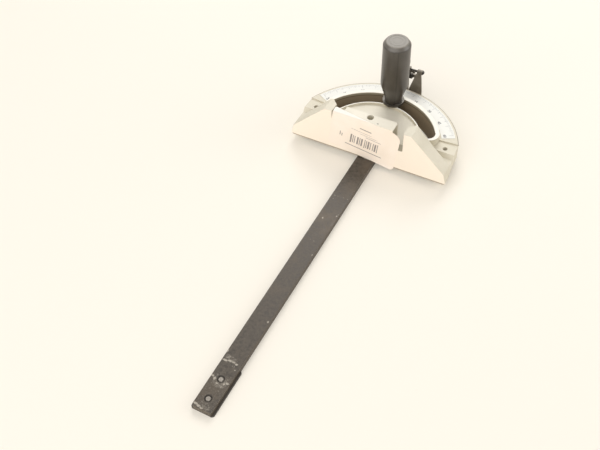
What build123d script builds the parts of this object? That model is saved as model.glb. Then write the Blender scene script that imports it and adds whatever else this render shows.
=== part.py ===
"""Miter gauge: a bar that runs in a saw table's slot, and a head that swings on it.

Millimetres. The origin is on the bar's underside, on the axis the head turns about.
+Z is up, +Y runs back along the bar to the angle scale, and the fence faces -Y.
"""

import os
from math import cos, radians, sin

from build123d import *

os.makedirs("parts", exist_ok=True)

# Guide bar
bar_width = 19.05
bar_thickness = 6.35
bar_front = 333.0
bar_rear_overhang = 9.0
bar_corner_radius = 2.0

# Guide plate and its screws at the bar's front end
plate_width = 22.6
plate_length = 48.3
plate_thickness = 1.6
plate_corner_radius = 2.5
plate_clearance = 0.05
guide_screw_radius = 2.5
guide_screw_head_radius = 4.6
guide_screw_sink = 0.15
guide_screw_tip_gap = 0.5
guide_hole_rim_radius = 3.4
guide_screw_front_y = -321.5
guide_screw_rear_y = -301.1

# Fits
press_clearance = 0.01
screw_clearance = 0.03
running_clearance = 0.05
face_clearance = 0.05

# Pivot
pivot_pin_radius = 3.65
pivot_pin_top = 30.0
pivot_pin_chamfer = 0.8
pivot_washer_radius = 9.0
pivot_washer_thickness = 0.5

# Head casting
rim_ledge_width = 19.4
rim_half_angle = 68.0
side_taper = 3.2
side_break_y = 18.5
fence_half_length = 89.5
fence_face_y = -8.5
fence_top = 58.1
wing_top_length = 8.6
wing_end_flare = 3.5
wing_low_z = 20.4
fence_corner_radius = 3.0
wing_rear_y_slot = 3.0
wing_rear_y_inner = 9.0
wing_rear_y_outer = 7.0
wing_shoulder = 6.3
wing_fade_x = 67.0
fence_slot_width = 11.4
fence_slot_bottom = 34.0
fence_slot_corner_radius = 1.5
slot_sill_rear_y = 0.5
platform_half_length = 28.3
platform_rear_y = 4.9
scale_deck_top = 26.0
pad_top = 24.5
ledge_top = 20.0
pad_length = 19.3
pad_front_slope = 3.0
step_inner_y = 32.2
step_outer_y = 34.4
moon_deck_top = 30.4
lip_top = 32.75
slot_width = 15.0
slot_half_angle = 61.0
inner_lip_width = 1.5
outer_lip_width = 4.6
pad_hole_inset = 11.333
pad_hole_setback = 5.3
wing_pad_hole_radius = 2.5
casting_wall = 4.0
slot_wall = 3.0
rim_wall = 4.9
fence_wall = 4.5
pivot_boss_radius = 9.0
notch_step = 15.0
notch_span = 60.0
notch_width = 3.4
notch_depth = 2.7
notch_bottom = 11.0
notch_top = 21.0
edge_round = 0.6
lip_round = 0.4

# Angle scale
scale_rim_margin = 2.9
scale_width = 14.3
scale_half_angle = 62.5
scale_thickness = 0.5

# Clamp
clamp_radius = 60.4
stud_radius = 4.0
stud_top = 56.0
stud_chamfer = 0.8
clamp_washer_radius = 11.7
clamp_washer_thickness = 2.2
clamp_washer_bore_clearance = 0.3
handle_top = 111.7
handle_top_radius = 11.5
handle_bevel_height = 4.1
handle_upper_radius = 14.4
handle_lower_radius = 14.8
handle_cone_top = 57.0
handle_shoulder_round = 5.0
handle_neck_top = 39.0
handle_neck_radius = 9.2
handle_rim_round = 1.6
insert_radius = 6.0
insert_length = 26.0
handle_bore_extra = 1.5

# Lever bracket behind the head
bracket_rim_gap = 4.1
bracket_sheet = 2.0
bracket_foot_half_width = 9.0
bracket_skirt_z = 7.6
bracket_low_half_width = 18.5
bracket_high_half_width = 16.3
bracket_shoulder_z = 45.6
bracket_slot_half_width = 3.6
bracket_slot_bottom = 10.0
bracket_slot_top = 23.0
bracket_notch_half_width = 8.6
bracket_notch_z = 40.0
bracket_ear_inner_x = 11.8
knuckle_radius = 2.6
knuckle_outer_x = 17.6
bracket_screw_x = 5.0
bracket_screw_setback = 4.7
bracket_screw_radius = 2.0
pan_head_ratio = 1.7
pan_head_height = 1.9
lug_x = 5.2
lug_z = 42.9
lug_radius = 2.9

# Lever hinge pin and clips
hinge_z = 49.8
hinge_pin_radius = 1.25
hinge_pin_overhang = 1.6
clip_radius = 2.3
clip_thickness = 0.8

# Index lever
lever_thickness = 3.0
lever_hub_radius = 3.2
lever_hub_half_length = 3.4
lever_leg_proud = 0.6
lever_leg_width = 3.6
tooth_bottom = 13.5
tooth_top = 18.5
tooth_engagement = 2.3
tooth_taper = 0.6
thumb_reach_y = 4.0
thumb_reach_z = 9.5
lever_rest_angle = 6.0
wing_outer_x = 7.6
wing_half_height = 2.4
wing_thickness = 1.8

# Stop screw and lock nut in the bracket's lug
stop_screw_radius = 1.5
stop_screw_proud = 3.6
stop_screw_reach = 1.4
stop_nut_thickness = 2.2
stop_nut_flats = 5.5
stop_gap = 0.05

# Pointer
pointer_sheet = 1.2
pointer_inner_x = -6.5
pointer_outer_x = -15.0
pointer_foot_z = 9.0
pointer_clear = 0.5
pointer_reach = 6.5
pointer_tip_half_width = 0.4
pointer_screw_z = 15.5
pointer_screw_radius = 1.5

# Values that follow from the ones above
head_bottom = bar_thickness + pivot_washer_thickness + face_clearance
slot_inner_radius = clamp_radius - slot_width / 2
slot_outer_radius = clamp_radius + slot_width / 2
lip_inner_radius = slot_inner_radius - inner_lip_width
lip_outer_radius = slot_outer_radius + outer_lip_width
rim_radius = lip_outer_radius + rim_ledge_width
rim_corner_x = rim_radius * sin(radians(rim_half_angle))
rim_corner_y = rim_radius * cos(radians(rim_half_angle))
lip_mid_radius = (lip_inner_radius + lip_outer_radius) / 2
side_break_x = fence_half_length - side_taper
fence_slot_outer_x = platform_half_length + fence_slot_width
wing_top_outer_x = fence_slot_outer_x + wing_top_length
wing_low_x = fence_half_length - wing_end_flare
wing_rear_x_inner = fence_slot_outer_x + wing_shoulder
ledge_inner_x = side_break_x - pad_length
pad_side_lean = (side_break_x - rim_corner_x) / (rim_corner_y - side_break_y)
wing_pad_hole_x = side_break_x - pad_side_lean * pad_hole_setback - pad_hole_inset
wing_pad_hole_y = side_break_y + pad_hole_setback
scale_outer_radius = rim_radius - scale_rim_margin
scale_inner_radius = scale_outer_radius - scale_width
fence_hollow_depth = wing_rear_y_outer - fence_face_y - 2 * fence_wall
rim_hollow_width = rim_radius - lip_outer_radius - rim_wall
rim_hollow_radius = lip_outer_radius + rim_hollow_width / 2
moon_hollow_front_y = platform_rear_y + casting_wall
notch_count = round(2 * notch_span / notch_step) + 1
stop_pin_half_length = knuckle_outer_x + hinge_pin_overhang
pointer_screw_x = (pointer_inner_x + pointer_outer_x) / 2
pointer_top = scale_deck_top + scale_thickness + pointer_clear + pointer_sheet
handle_bevel_z = handle_top - handle_bevel_height
washer_bottom = lip_top + face_clearance
washer_top = washer_bottom + clamp_washer_thickness
handle_bottom = washer_top + face_clearance
handle_bore_top = handle_bottom + insert_length + handle_bore_extra
bracket_front_y = rim_radius + bracket_rim_gap
bracket_rear_y = bracket_front_y + bracket_sheet
hinge_y = bracket_front_y + bracket_sheet / 2
bracket_screw_y = bracket_rear_y + bracket_screw_setback
bar_rear = bracket_rear_y + bar_rear_overhang
lever_leg_front_y = bracket_front_y - lever_leg_proud
lever_leg_rear_y = lever_leg_front_y + lever_leg_width
stop_screw_front_y = bracket_front_y - stop_screw_proud
stop_screw_tip_y = bracket_rear_y + stop_screw_reach
pointer_tip_y = scale_outer_radius - pointer_reach
tooth_tip_y = rim_radius - tooth_engagement


def front_plane(y):
    """A plane that faces the fence side, at this y, with sketch x along X and sketch y along Z."""
    return Plane.XZ.offset(-y)


def side_plane(x):
    """A plane across the gauge at this x, with sketch x along Y and sketch y along Z."""
    return Plane.YZ.offset(x)


def finish(part, name):
    """Label a finished piece and write it."""
    part.label = name
    export_step(part, f"parts/{name}.step")


# Guide bar: flat ground steel with rounded front corners, drilled for everything it carries
with BuildPart() as guide_bar:
    with BuildSketch():
        with Locations((0, (bar_rear - bar_front) / 2)):
            Rectangle(bar_width, bar_front + bar_rear)
    extrude(amount=bar_thickness)
    front_edges = guide_bar.edges().filter_by(Axis.Z).group_by(Axis.Y)[0]
    fillet(front_edges, radius=bar_corner_radius)
    with BuildSketch():
        with Locations((0, plate_length / 2 - bar_front)):
            Rectangle(bar_width, plate_length)
    extrude(amount=plate_thickness, mode=Mode.SUBTRACT)
    for screw_y in (guide_screw_front_y, guide_screw_rear_y):
        with Locations((0, screw_y, bar_thickness)):
            CounterSinkHole(guide_screw_radius + screw_clearance, guide_hole_rim_radius, counter_sink_angle=90)
        with BuildSketch(Plane.XY.offset(plate_thickness)):
            with Locations((0, screw_y)):
                Circle(guide_screw_head_radius - plate_thickness + guide_screw_sink)
        extrude(
            amount=guide_screw_head_radius - plate_thickness + guide_screw_sink - guide_screw_radius,
            taper=45,
            mode=Mode.SUBTRACT,
        )
    with Locations((0, 0, bar_thickness)):
        Hole(pivot_pin_radius + press_clearance)
    with Locations((0, clamp_radius, bar_thickness)):
        Hole(stud_radius + screw_clearance)
    with Locations(
        (bracket_screw_x, bracket_screw_y, bar_thickness),
        (-bracket_screw_x, bracket_screw_y, bar_thickness),
    ):
        Hole(bracket_screw_radius + screw_clearance)
finish(guide_bar.part, "guide_bar")

# Guide plate: thin steel strip in a recess under the bar's front end, wider than the bar
with BuildPart() as guide_plate:
    with BuildSketch():
        with Locations((0, plate_length / 2 - bar_front)):
            Rectangle(plate_width, plate_length - plate_clearance)
    extrude(amount=plate_thickness - plate_clearance)
    fillet(guide_plate.edges().filter_by(Axis.Z), radius=plate_corner_radius)
    for screw_y in (guide_screw_front_y, guide_screw_rear_y):
        with BuildSketch():
            with Locations((0, screw_y)):
                Circle(guide_screw_head_radius + guide_screw_sink)
        extrude(amount=plate_thickness, taper=45, mode=Mode.SUBTRACT)
finish(guide_plate.part, "guide_plate")

# Guide plate screws: countersunk heads below, tips just under the bar's top face
for name, screw_y in (
    ("guide_screw_front", guide_screw_front_y),
    ("guide_screw_rear", guide_screw_rear_y),
):
    cone_height = guide_screw_head_radius - guide_screw_radius
    with BuildPart() as guide_screw:
        with BuildSketch(Plane.XY.offset(guide_screw_sink)):
            with Locations((0, screw_y)):
                Circle(guide_screw_head_radius)
        extrude(amount=cone_height, taper=45)
        with BuildSketch(Plane.XY.offset(guide_screw_sink)):
            with Locations((0, screw_y)):
                Circle(guide_screw_radius)
        extrude(amount=bar_thickness - guide_screw_tip_gap - guide_screw_sink)
        chamfer(guide_screw.edges().sort_by(Axis.Z)[-1], length=guide_screw_radius * 0.2)
        with BuildSketch(Plane.XY.offset(guide_screw_sink)):
            with Locations((0, screw_y)):
                RegularPolygon(guide_screw_radius * 0.75, 6)
        extrude(amount=cone_height, mode=Mode.SUBTRACT)
    finish(guide_screw.part, name)

# Pivot pin: turned steel, pressed into the bar
with BuildPart() as pivot_pin:
    with BuildSketch():
        Circle(pivot_pin_radius)
    extrude(amount=pivot_pin_top)
    chamfer(pivot_pin.edges().sort_by(Axis.Z)[-1], length=pivot_pin_chamfer)
finish(pivot_pin.part, "pivot_pin")

# Pivot washer: spaces the head off the bar
with BuildPart() as pivot_washer:
    with BuildSketch(Plane.XY.offset(bar_thickness)):
        Circle(pivot_washer_radius)
        Circle(pivot_pin_radius + running_clearance, mode=Mode.SUBTRACT)
    extrude(amount=pivot_washer_thickness)
finish(pivot_washer.part, "pivot_washer")

# Clamp stud: threaded rod screwed into the bar from above
with BuildPart() as clamp_stud:
    with BuildSketch(Plane.XY.offset(face_clearance)):
        with Locations((0, clamp_radius)):
            Circle(stud_radius)
    extrude(amount=stud_top - face_clearance)
    chamfer(clamp_stud.edges().sort_by(Axis.Z)[-1], length=stud_chamfer)
finish(clamp_stud.part, "clamp_stud")

# Head casting: one die casting with the fence, the raised slot, the scale rim and two wing pads
with BuildPart() as head_casting:
    # Fence: flat top, then a straight slope down to each tip
    with BuildSketch(front_plane(fence_face_y)) as fence_outline:
        with BuildLine():
            Polyline(
                (-fence_half_length, head_bottom),
                (fence_half_length, head_bottom),
                (wing_low_x, wing_low_z),
                (wing_top_outer_x, fence_top),
                (-wing_top_outer_x, fence_top),
                (-wing_low_x, wing_low_z),
                close=True,
            )
        make_face()
        fillet(fence_outline.vertices().group_by(Axis.Y)[0], radius=fence_corner_radius)
    extrude(amount=fence_face_y - side_break_y)
    with BuildSketch(Plane.XY.offset(ledge_top)):
        with BuildLine():
            Polyline(
                (fence_slot_outer_x, slot_sill_rear_y),
                (fence_slot_outer_x, wing_rear_y_slot),
                (wing_rear_x_inner, wing_rear_y_inner),
                (wing_fade_x, wing_rear_y_outer),
                (fence_half_length, wing_rear_y_outer),
                (fence_half_length, 2 * side_break_y),
                (-fence_half_length, 2 * side_break_y),
                (-fence_half_length, wing_rear_y_outer),
                (-wing_fade_x, wing_rear_y_outer),
                (-wing_rear_x_inner, wing_rear_y_inner),
                (-fence_slot_outer_x, wing_rear_y_slot),
                (-fence_slot_outer_x, slot_sill_rear_y),
                close=True,
            )
        make_face()
    extrude(amount=fence_top, mode=Mode.SUBTRACT)
    with BuildSketch(Plane.XY):
        with BuildLine():
            Polyline(
                (side_break_x, side_break_y),
                (fence_half_length, fence_face_y),
                (-fence_half_length, fence_face_y),
                (-side_break_x, side_break_y),
                close=True,
            )
        make_face()
    extrude(amount=2 * fence_top, mode=Mode.INTERSECT)

    # Two open slots beside a central tongue, whose thick top holds the pivot bore
    with BuildSketch(front_plane(fence_face_y)) as fence_slots:
        with Locations((0, fence_slot_bottom + fence_top / 2)):
            Rectangle(2 * fence_slot_outer_x, fence_top)
        fillet(fence_slots.vertices().group_by(Axis.Y)[0], radius=fence_slot_corner_radius)
    extrude(amount=fence_face_y - side_break_y, mode=Mode.SUBTRACT)
    with BuildSketch(front_plane(fence_face_y)):
        with Locations((0, (head_bottom + fence_top) / 2)):
            Rectangle(2 * platform_half_length, fence_top - head_bottom)
    extrude(amount=fence_face_y - platform_rear_y)

    # Ledges, pads and scale deck, each a step higher than the one before
    with BuildSketch(Plane.XY.offset(head_bottom)):
        with BuildLine():
            Polyline(
                (rim_corner_x, rim_corner_y),
                (side_break_x, side_break_y),
                (wing_low_x, wing_rear_y_inner),
                (-wing_low_x, wing_rear_y_inner),
                (-side_break_x, side_break_y),
                (-rim_corner_x, rim_corner_y),
            )
            ThreePointArc((-rim_corner_x, rim_corner_y), (0, rim_radius), (rim_corner_x, rim_corner_y))
        make_face()
    extrude(amount=ledge_top - head_bottom)
    with BuildSketch(Plane.XY.offset(ledge_top)):
        with BuildLine():
            Polyline(
                (rim_corner_x, rim_corner_y),
                (side_break_x, side_break_y),
                (ledge_inner_x, side_break_y),
                (wing_rear_x_inner, wing_rear_y_inner),
                (-wing_rear_x_inner, wing_rear_y_inner),
                (-ledge_inner_x, side_break_y),
                (-side_break_x, side_break_y),
                (-rim_corner_x, rim_corner_y),
            )
            ThreePointArc((-rim_corner_x, rim_corner_y), (0, rim_radius), (rim_corner_x, rim_corner_y))
        make_face()
    extrude(amount=pad_top - ledge_top)
    for pad_start_x in (ledge_inner_x, -side_break_x):
        with BuildSketch(side_plane(pad_start_x)):
            with BuildLine():
                Polyline(
                    (side_break_y - pad_front_slope, ledge_top),
                    (side_break_y, pad_top),
                    (side_break_y, ledge_top),
                    close=True,
                )
            make_face()
        extrude(amount=pad_length)
    with BuildSketch(Plane.XY.offset(pad_top)):
        Circle(rim_radius)
        with BuildLine():
            Polyline(
                (-rim_radius, step_outer_y),
                (-ledge_inner_x, step_inner_y),
                (ledge_inner_x, step_inner_y),
                (rim_radius, step_outer_y),
                (rim_radius, rim_radius),
                (-rim_radius, rim_radius),
                close=True,
            )
        make_face(mode=Mode.INTERSECT)
    extrude(amount=scale_deck_top - pad_top)

    # Half-moon deck behind the fence, and the raised lip that rings the slot
    with BuildSketch(Plane.XY.offset(head_bottom)):
        Circle(slot_inner_radius)
        with Locations((0, -slot_inner_radius / 2)):
            Rectangle(2 * slot_inner_radius, slot_inner_radius, mode=Mode.SUBTRACT)
    extrude(amount=moon_deck_top - head_bottom)
    with BuildSketch(Plane.XY.offset(head_bottom)):
        with BuildLine(mode=Mode.PRIVATE) as lip_centre:
            CenterArc((0, 0), lip_mid_radius, 90 - slot_half_angle, 2 * slot_half_angle)
        SlotArc(lip_centre.edge(), lip_outer_radius - lip_inner_radius)
    extrude(amount=lip_top - head_bottom)

    # Hollows under the casting: behind the fence face, under the half-moon and under the scale
    with BuildSketch(front_plane(fence_face_y + fence_wall)):
        with BuildLine():
            Polyline(
                (fence_slot_outer_x + fence_wall, head_bottom),
                (wing_low_x - 2 * fence_wall, head_bottom),
                (wing_low_x - 2 * fence_wall, wing_low_z),
                (wing_top_outer_x, fence_top - 2 * fence_wall),
                (fence_slot_outer_x + fence_wall, fence_top - 2 * fence_wall),
                close=True,
            )
        make_face()
        mirror(about=Plane.YZ)
    extrude(amount=-fence_hollow_depth, mode=Mode.SUBTRACT)
    with BuildSketch(Plane.XY.offset(head_bottom)):
        Circle(slot_inner_radius - slot_wall)
        with Locations((0, moon_hollow_front_y - slot_inner_radius)):
            Rectangle(2 * slot_inner_radius, 2 * slot_inner_radius, mode=Mode.SUBTRACT)
        Circle(pivot_boss_radius, mode=Mode.SUBTRACT)
        with Locations((0, slot_inner_radius / 2)):
            Rectangle(casting_wall, slot_inner_radius, mode=Mode.SUBTRACT)
    extrude(amount=moon_deck_top - casting_wall - head_bottom, mode=Mode.SUBTRACT)
    with BuildSketch(Plane.XY.offset(head_bottom)):
        with BuildLine(mode=Mode.PRIVATE) as rim_hollow_centre:
            CenterArc((0, 0), rim_hollow_radius, 90 - scale_half_angle, 2 * scale_half_angle)
        SlotArc(rim_hollow_centre.edge(), rim_hollow_width)
    extrude(amount=scale_deck_top - casting_wall - head_bottom, mode=Mode.SUBTRACT)

    # Curved slot, pivot bore, pad holes and index notches
    with BuildSketch(Plane.XY):
        with BuildLine(mode=Mode.PRIVATE) as slot_centre:
            CenterArc((0, 0), clamp_radius, 90 - slot_half_angle, 2 * slot_half_angle)
        SlotArc(slot_centre.edge(), slot_width)
    extrude(amount=2 * lip_top, mode=Mode.SUBTRACT)
    with Locations((0, 0, fence_top)):
        Hole(pivot_pin_radius + running_clearance)
    with Locations((wing_pad_hole_x, wing_pad_hole_y, pad_top), (-wing_pad_hole_x, wing_pad_hole_y, pad_top)):
        Hole(wing_pad_hole_radius)
    with BuildSketch(Plane.XY.offset(notch_bottom)):
        with PolarLocations(rim_radius, notch_count, 90 - notch_span, 2 * notch_span, endpoint=True):
            Rectangle(2 * notch_depth, notch_width)
    extrude(amount=notch_top - notch_bottom, mode=Mode.SUBTRACT)

    # Edges eased all round the fence's face, along the lips and along the rim
    face_edges = head_casting.edges().filter_by_position(Axis.Y, fence_face_y - 0.1, fence_face_y + 0.1)
    fillet(face_edges.filter_by_position(Axis.Z, head_bottom + 0.1, fence_top + 0.1), radius=edge_round)
    fillet(head_casting.edges().filter_by_position(Axis.Z, lip_top - 0.1, lip_top + 0.1), radius=lip_round)
    deck_edges = head_casting.edges().filter_by_position(Axis.Z, scale_deck_top - 0.1, scale_deck_top + 0.1)
    fillet(deck_edges.sort_by(Axis.Y)[-1], radius=edge_round)
    top_edges = head_casting.edges().filter_by_position(Axis.Z, fence_top - 0.1, fence_top + 0.1)
    fillet(top_edges.filter_by_position(Axis.Y, platform_rear_y - 0.1, platform_rear_y + 0.1), radius=edge_round)
finish(head_casting.part, "head_casting")

# Angle scale: thin printed aluminium strip that follows the rim
with BuildPart() as angle_scale:
    with BuildSketch(Plane.XY.offset(scale_deck_top)):
        with BuildLine():
            scale_outer = CenterArc((0, 0), scale_outer_radius, 90 - scale_half_angle, 2 * scale_half_angle)
            scale_inner = CenterArc((0, 0), scale_inner_radius, 90 - scale_half_angle, 2 * scale_half_angle)
            Line(scale_outer @ 0, scale_inner @ 0)
            Line(scale_outer @ 1, scale_inner @ 1)
        make_face()
    extrude(amount=scale_thickness)
finish(angle_scale.part, "angle_scale")

# Clamp washer: black steel disc that bears on both lips of the slot
with BuildPart() as clamp_washer:
    with BuildSketch(Plane.XY.offset(washer_bottom)):
        with Locations((0, clamp_radius)):
            Circle(clamp_washer_radius)
            Circle(stud_radius + clamp_washer_bore_clearance, mode=Mode.SUBTRACT)
    extrude(amount=clamp_washer_thickness)
finish(clamp_washer.part, "clamp_washer")

# Clamp handle: moulded knob, turned about the stud, hollow from below for its insert
with BuildPart() as clamp_handle:
    with BuildSketch(side_plane(0)):
        with BuildLine():
            Polyline(
                (clamp_radius + insert_radius, handle_bottom),
                (clamp_radius + handle_neck_radius, handle_bottom),
                (clamp_radius + handle_neck_radius, handle_neck_top),
                (clamp_radius + handle_lower_radius, handle_cone_top),
                (clamp_radius + handle_upper_radius, handle_bevel_z),
                (clamp_radius + handle_top_radius, handle_top),
                (clamp_radius, handle_top),
                (clamp_radius, handle_bore_top),
                (clamp_radius + insert_radius, handle_bore_top),
                close=True,
            )
        make_face()
    revolve(axis=Axis((0, clamp_radius, 0), (0, 0, 1)))
    handle_rings = clamp_handle.edges().filter_by(GeomType.CIRCLE)
    fillet(handle_rings.filter_by_position(Axis.Z, handle_cone_top - 1, handle_cone_top + 1), radius=handle_shoulder_round)
    handle_rings = clamp_handle.edges().filter_by(GeomType.CIRCLE)
    fillet(handle_rings.filter_by_position(Axis.Z, handle_bevel_z - 1, handle_top), radius=handle_rim_round)
finish(clamp_handle.part, "clamp_handle")

# Handle insert: threaded steel sleeve moulded into the handle
with BuildPart() as handle_insert:
    with BuildSketch(Plane.XY.offset(handle_bottom)):
        with Locations((0, clamp_radius)):
            Circle(insert_radius)
            Circle(stud_radius + running_clearance, mode=Mode.SUBTRACT)
    extrude(amount=insert_length)
finish(handle_insert.part, "handle_insert")

# Stop bracket: folded sheet with a foot on the bar, two ears and a knuckle on each ear
with BuildPart() as stop_bracket:
    with BuildSketch(front_plane(bracket_front_y)):
        with BuildLine():
            Polyline(
                (bracket_slot_half_width, bracket_slot_bottom),
                (0, bracket_slot_bottom),
                (0, bar_thickness),
                (bracket_foot_half_width, bar_thickness),
                (bracket_foot_half_width, bracket_skirt_z),
                (bracket_low_half_width, bracket_skirt_z),
                (bracket_low_half_width, bracket_slot_top),
                (bracket_high_half_width, bracket_shoulder_z),
                (bracket_high_half_width, hinge_z),
                (bracket_ear_inner_x, hinge_z),
                (bracket_notch_half_width, bracket_notch_z),
                (bracket_slot_half_width, bracket_slot_top),
                close=True,
            )
        make_face()
        mirror(about=Plane.YZ)
    extrude(amount=-bracket_sheet)
    with BuildSketch(front_plane(bracket_front_y)):
        with Locations((lug_x, lug_z)):
            Circle(lug_radius)
        with Locations(((lug_x + bracket_ear_inner_x) / 2, lug_z)):
            Rectangle(bracket_ear_inner_x - lug_x, lug_radius * 1.4)
    extrude(amount=-bracket_sheet)
    with BuildSketch(Plane.XY.offset(bar_thickness)):
        with Locations((0, (bracket_rear_y + bar_rear) / 2)):
            Rectangle(2 * bracket_foot_half_width, bar_rear - bracket_rear_y)
    extrude(amount=bracket_sheet)
    for ear_x in (-knuckle_outer_x, bracket_ear_inner_x):
        with BuildSketch(side_plane(ear_x)):
            with Locations((hinge_y, hinge_z)):
                Circle(knuckle_radius)
        extrude(amount=knuckle_outer_x - bracket_ear_inner_x)
    with BuildSketch(side_plane(-bracket_low_half_width)):
        with Locations((hinge_y, hinge_z)):
            Circle(hinge_pin_radius + press_clearance)
    extrude(amount=2 * bracket_low_half_width, mode=Mode.SUBTRACT)
    with BuildSketch(Plane.XY.offset(bar_thickness)):
        with Locations((bracket_screw_x, bracket_screw_y), (-bracket_screw_x, bracket_screw_y)):
            Circle(bracket_screw_radius + screw_clearance)
    extrude(amount=bracket_sheet, mode=Mode.SUBTRACT)
    with BuildSketch(front_plane(bracket_front_y)):
        with Locations((lug_x, lug_z)):
            Circle(stop_screw_radius + screw_clearance)
        with Locations((pointer_screw_x, pointer_screw_z)):
            Circle(pointer_screw_radius + screw_clearance)
    extrude(amount=-bracket_sheet, mode=Mode.SUBTRACT)
finish(stop_bracket.part, "stop_bracket")

# Bracket screws: pan heads on the foot, threads through the bar
for name, screw_x in (("bracket_screw_left", -bracket_screw_x), ("bracket_screw_right", bracket_screw_x)):
    with BuildPart() as bracket_screw:
        with BuildSketch(Plane.XY.offset(bar_thickness + bracket_sheet)):
            with Locations((screw_x, bracket_screw_y)):
                Circle(bracket_screw_radius * pan_head_ratio)
        extrude(amount=pan_head_height)
        fillet(bracket_screw.edges().sort_by(Axis.Z)[-1], radius=pan_head_height * 0.4)
        with BuildSketch(Plane.XY.offset(face_clearance)):
            with Locations((screw_x, bracket_screw_y)):
                Circle(bracket_screw_radius)
        extrude(amount=bar_thickness + bracket_sheet - face_clearance)
        with BuildSketch(Plane.XY.offset(bar_thickness + bracket_sheet + pan_head_height)):
            with Locations((screw_x, bracket_screw_y)):
                Rectangle(bracket_screw_radius * 1.5, bracket_screw_radius * 0.35)
                Rectangle(bracket_screw_radius * 0.35, bracket_screw_radius * 1.5)
        extrude(amount=-pan_head_height * 0.6, mode=Mode.SUBTRACT)
    finish(bracket_screw.part, name)

# Stop pin: plain rod across both knuckles, with a push-on clip at each end
with BuildPart() as stop_pin:
    with BuildSketch(side_plane(-stop_pin_half_length)):
        with Locations((hinge_y, hinge_z)):
            Circle(hinge_pin_radius)
    extrude(amount=2 * stop_pin_half_length)
finish(stop_pin.part, "stop_pin")
for name, clip_x in (("pin_clip_left", -knuckle_outer_x - clip_thickness), ("pin_clip_right", knuckle_outer_x)):
    with BuildPart() as pin_clip:
        with BuildSketch(side_plane(clip_x)):
            with Locations((hinge_y, hinge_z)):
                Circle(clip_radius)
                Circle(hinge_pin_radius + press_clearance, mode=Mode.SUBTRACT)
        extrude(amount=clip_thickness)
    finish(pin_clip.part, name)

# Index lever: flat plate on a hub, with a thumb tab above and a tooth below that enters the notches
rest_turn = Axis((0, hinge_y, hinge_z), (1, 0, 0))
with BuildPart() as stop_lever:
    with BuildSketch(side_plane(-lever_thickness / 2)):
        with BuildLine():
            Polyline(
                (lever_leg_front_y, hinge_z),
                (lever_leg_front_y, tooth_top),
                (tooth_tip_y, tooth_top - tooth_taper),
                (tooth_tip_y, tooth_bottom + tooth_taper),
                (lever_leg_front_y, tooth_bottom),
                (lever_leg_rear_y, tooth_bottom),
                (lever_leg_rear_y, hinge_z),
                (hinge_y + thumb_reach_y, hinge_z + thumb_reach_z - lever_thickness),
                (hinge_y + thumb_reach_y, hinge_z + thumb_reach_z),
                (hinge_y, hinge_z + lever_hub_radius),
                close=True,
            )
        make_face()
    extrude(amount=lever_thickness)
    with BuildSketch(side_plane(-lever_hub_half_length)):
        with Locations((hinge_y, hinge_z)):
            Circle(lever_hub_radius)
    extrude(amount=2 * lever_hub_half_length)
    with BuildSketch(front_plane(stop_screw_tip_y + stop_gap)):
        with Locations((wing_outer_x / 2, lug_z)):
            Rectangle(wing_outer_x, 2 * wing_half_height)
    extrude(amount=-wing_thickness)
    with BuildSketch(front_plane(hinge_y)):
        with Locations((0, lug_z)):
            Rectangle(lever_thickness, 2 * wing_half_height)
    extrude(amount=hinge_y - stop_screw_tip_y - stop_gap - wing_thickness)
    with BuildSketch(side_plane(-lever_hub_half_length)):
        with Locations((hinge_y, hinge_z)):
            Circle(hinge_pin_radius + running_clearance)
    extrude(amount=2 * lever_hub_half_length, mode=Mode.SUBTRACT)
finish(stop_lever.part.rotate(rest_turn, lever_rest_angle), "stop_lever")

# Stop screw and lock nut: set how deep the lever's tooth drops
with BuildPart() as stop_screw:
    with BuildSketch(front_plane(stop_screw_front_y)):
        with Locations((lug_x, lug_z)):
            Circle(stop_screw_radius)
    extrude(amount=stop_screw_front_y - stop_screw_tip_y)
    with BuildSketch(front_plane(stop_screw_front_y)):
        with Locations((lug_x, lug_z)):
            RegularPolygon(stop_screw_radius * 0.5, 6)
    extrude(amount=-stop_screw_radius, mode=Mode.SUBTRACT)
finish(stop_screw.part, "stop_screw")
with BuildPart() as stop_nut:
    with BuildSketch(front_plane(bracket_front_y)):
        with Locations((lug_x, lug_z)):
            RegularPolygon(stop_nut_flats / 2, 6, major_radius=False)
            Circle(stop_screw_radius + screw_clearance, mode=Mode.SUBTRACT)
    extrude(amount=stop_nut_thickness)
finish(stop_nut.part, "stop_nut")

# Pointer: bent strip on the bracket's front, reaching forward over the rim to the scale
with BuildPart() as pointer:
    with BuildSketch(front_plane(bracket_front_y - pointer_sheet)):
        with Locations((pointer_screw_x, (pointer_foot_z + pointer_top) / 2)):
            Rectangle(pointer_inner_x - pointer_outer_x, pointer_top - pointer_foot_z)
    extrude(amount=-pointer_sheet)
    with BuildSketch(Plane.XY.offset(pointer_top - pointer_sheet)):
        with BuildLine():
            Polyline(
                (pointer_outer_x, bracket_front_y),
                (pointer_inner_x, bracket_front_y),
                (pointer_inner_x, rim_radius),
                (pointer_tip_half_width, pointer_tip_y),
                (-pointer_tip_half_width, pointer_tip_y),
                (pointer_outer_x, rim_radius - pointer_sheet),
                close=True,
            )
        make_face()
    extrude(amount=pointer_sheet)
    with BuildSketch(front_plane(bracket_front_y)):
        with Locations((pointer_screw_x, pointer_screw_z)):
            Circle(pointer_screw_radius + screw_clearance)
    extrude(amount=pointer_sheet, mode=Mode.SUBTRACT)
finish(pointer.part, "pointer")

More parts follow.
